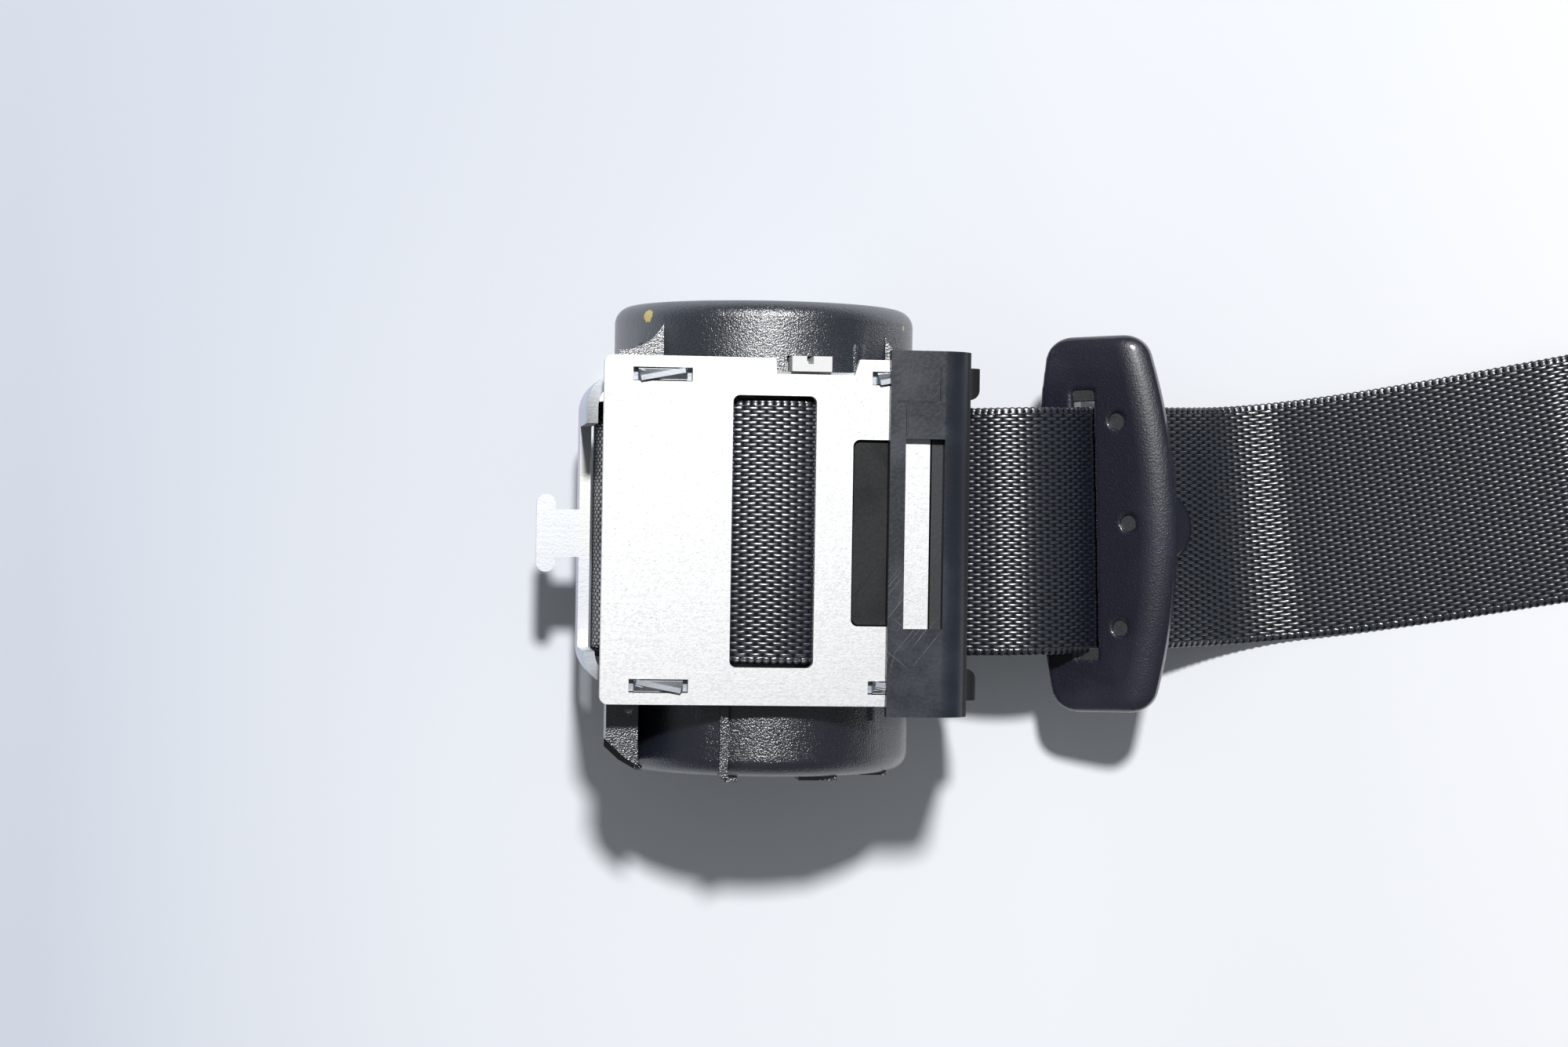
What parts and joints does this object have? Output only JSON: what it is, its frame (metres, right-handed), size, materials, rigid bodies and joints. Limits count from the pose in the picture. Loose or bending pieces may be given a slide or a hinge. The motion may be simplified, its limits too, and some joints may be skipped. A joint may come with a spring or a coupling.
{
  "type": "seat belt retractor",
  "caption": "Emergency-locking seat belt retractor with webbing, tongue and stop button, lap end folded into a hank with its anchor plate.",
  "frame": {"origin": "centre of the mounting hole on the back face of the mounting plate", "axes": "+X the way the belt leaves the guide, +Y along the spool towards the spring cover, +Z from the mounting face out towards the tie plate"},
  "size_m": [0.3497, 0.1091, 0.0689],
  "materials": {
    "zinc_steel": "zinc plated, faint blue and yellow chromate",
    "bright_zinc": "bright spangled zinc",
    "dark_steel": "oiled steel",
    "die_cast": "die cast",
    "guide_plastic": "scuffed black moulding",
    "cover_plastic": "fine satin grain",
    "tongue_plastic": "leather grain",
    "white_plastic": "unfilled acetal",
    "webbing": "woven polyester",
    "band_rubber": "elastic band"
  },
  "bodies": {
    "retractor": {"frame_bracket": "zinc_steel", "tie_plate": "bright_zinc", "mounting_plate": "zinc_steel", "belt_guide": "guide_plastic", "spool_bushes": "white_plastic", "pawl_pin": "dark_steel", "sensor_housing": "white_plastic", "sensor_lever_pin": "dark_steel", "main_spring": "dark_steel", "spring_base": "white_plastic", "spring_cover": "cover_plastic", "lock_cover": "cover_plastic", "spring_cover_pins": "white_plastic", "lock_cover_pins": "white_plastic", "belt_run": "webbing", "belt_hank": "webbing", "hank_band": "band_rubber", "anchor_plate": "zinc_steel", "stop_button_front": "tongue_plastic", "stop_button_back": "tongue_plastic"},
    "spool": {"spool": "die_cast", "torsion_bar": "dark_steel", "belt_roll": "webbing", "belt_end_pin": "dark_steel", "ratchet_wheel": "dark_steel", "spring_arbor": "white_plastic"},
    "lock_gear": {"lock_gear": "white_plastic"},
    "pawl": {"locking_pawl": "dark_steel"},
    "sensor_ball": {"sensor_ball": "dark_steel"},
    "sensor_lever": {"sensor_lever": "white_plastic"},
    "tongue": {"tongue_cover": "tongue_plastic", "tongue_blade": "bright_zinc"}
  },
  "joints": [
    {"name": "spool_spin", "type": "hinge", "parent": "retractor", "child": "spool", "pos_m": [-0.049, 0, 0.0335], "axis": [0, 1, 0], "continuous": true},
    {"name": "lock_gear_lag", "type": "hinge", "parent": "spool", "child": "lock_gear", "pos_m": [-0.049, 0, 0.0335], "axis": [0, -1, 0], "range_deg": [0, 22.5]},
    {"name": "pawl_swing", "type": "hinge", "parent": "retractor", "child": "pawl", "pos_m": [-0.03853, -0.0312, 0.01381], "axis": [0, -1, 0], "range_deg": [0, 12.5]},
    {"name": "ball_roll", "type": "slide", "parent": "retractor", "child": "sensor_ball", "axis": [0.8, 0, 0.6], "range_m": [0, 0.002]},
    {"name": "lever_swing", "type": "hinge", "parent": "retractor", "child": "sensor_lever", "pos_m": [-0.0689, -0.03715, 0.0425], "axis": [0, -1, 0], "range_deg": [0, 9]},
    {"name": "tongue_slide", "type": "slide", "parent": "retractor", "child": "tongue", "axis": [0.9051, 0.0316, -0.4241], "range_m": [-0.009, 0]}
  ],
  "couplings": [
    {"joint": "pawl_swing", "follows": "lock_gear_lag", "ratio": 0.48889},
    {"joint": "lever_swing", "follows": "ball_roll", "rad_per_m": 61.086}
  ]
}
